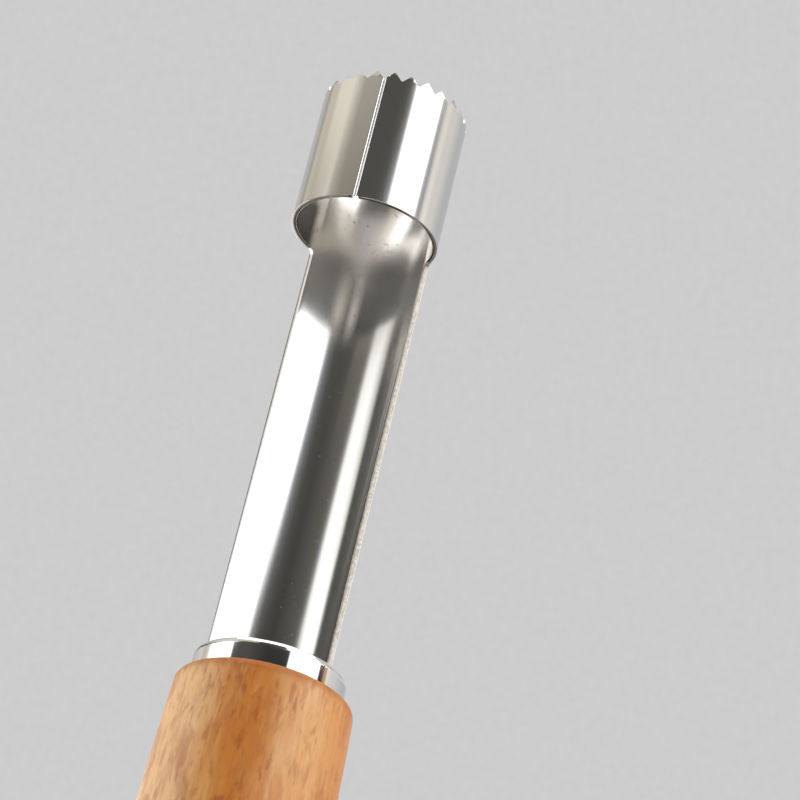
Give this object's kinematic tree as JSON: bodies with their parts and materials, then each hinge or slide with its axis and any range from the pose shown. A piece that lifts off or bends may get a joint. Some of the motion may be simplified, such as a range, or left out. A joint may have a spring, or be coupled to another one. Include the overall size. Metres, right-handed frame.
{
  "type": "fruit corer",
  "caption": "Fruit corer standing on the butt of its turned wooden handle: a toothed steel coring ring rolled from one sheet with its long open trough, and a polished cap.",
  "frame": {"origin": "The centre of the flat butt of the handle, which stands on the floor at z = 0.", "axes": "+Z runs along the centre line of the handle towards the teeth, -Y is the open side of the trough with the seam of the ring, and X is across the tool, which is symmetric about the YZ plane."},
  "size_m": [0.0284, 0.0345, 0.1981],
  "materials": {
    "blade_steel": "polished stainless steel with fine scratches",
    "cap_chrome": "mirror polished",
    "handle_wood": "satin, lightly oiled"
  },
  "bodies": {
    "root": {"corer_blade": "blade_steel", "ferrule": "cap_chrome", "handle": "handle_wood"}
  },
  "joints": []
}
